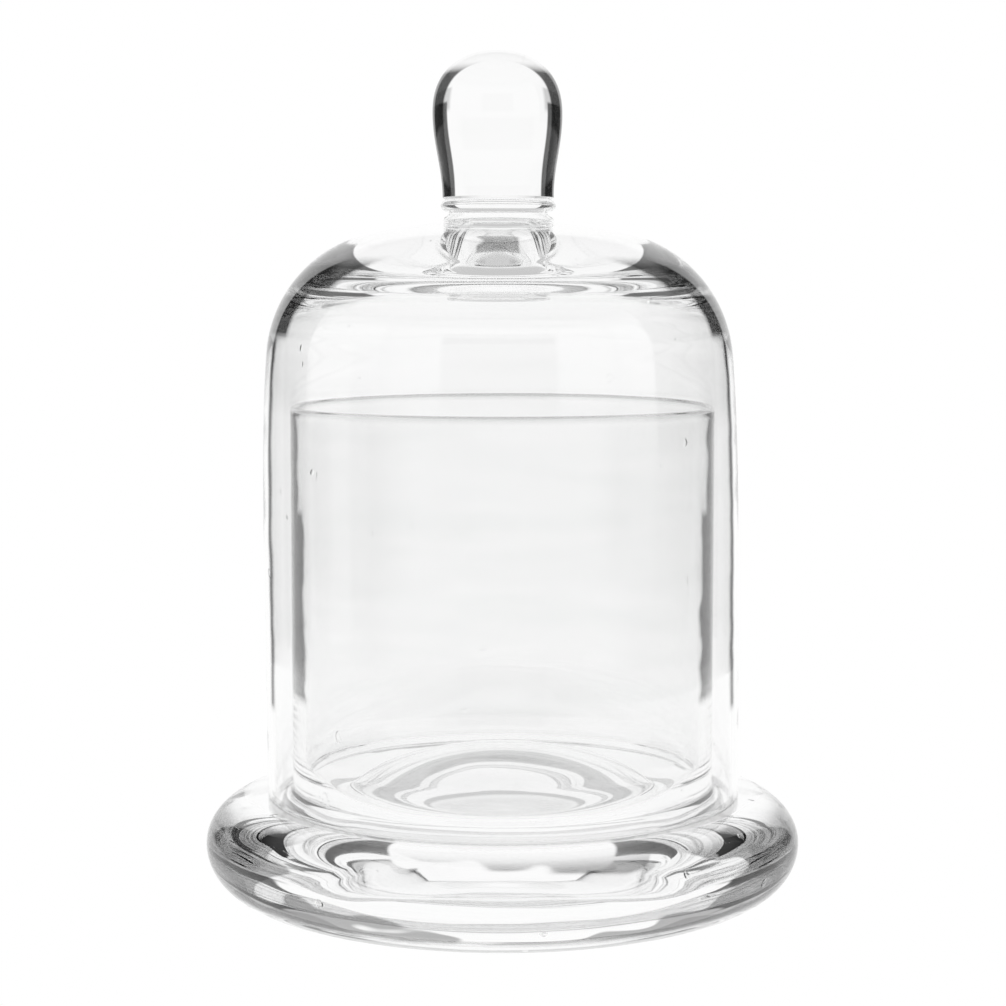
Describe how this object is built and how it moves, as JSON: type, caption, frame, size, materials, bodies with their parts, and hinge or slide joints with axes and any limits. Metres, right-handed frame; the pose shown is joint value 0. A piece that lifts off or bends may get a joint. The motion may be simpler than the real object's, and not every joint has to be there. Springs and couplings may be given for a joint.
{
  "type": "bell jar dome",
  "caption": "Clear glass bell jar: a domed cover with a solid knob lifts off an open cup on a thick round foot, and covers what stands in the cup.",
  "frame": {"origin": "centre of the foot's underside, on the plane that the jar stands on", "axes": "+Z is the axis of the jar, from the foot up to the knob. The jar is round, so +X and +Y are any two directions at right angles to it."},
  "size_m": [0.1016, 0.1016, 0.1423],
  "materials": {
    "foot_glass": "clear, polished, thick",
    "cup_glass": "clear, polished, thin wall",
    "dome_glass": "clear, polished, thin wall",
    "collar_glass": "clear, polished",
    "knob_glass": "clear, polished, solid"
  },
  "bodies": {
    "holder": {"foot": "foot_glass", "cup": "cup_glass"},
    "cover": {"dome_shell": "dome_glass", "knob_collar": "collar_glass", "knob": "knob_glass"}
  },
  "joints": [
    {"name": "cover_lift", "type": "slide", "parent": "holder", "child": "cover", "axis": [0, 0, 1], "range_m": [0, 0.09]}
  ]
}
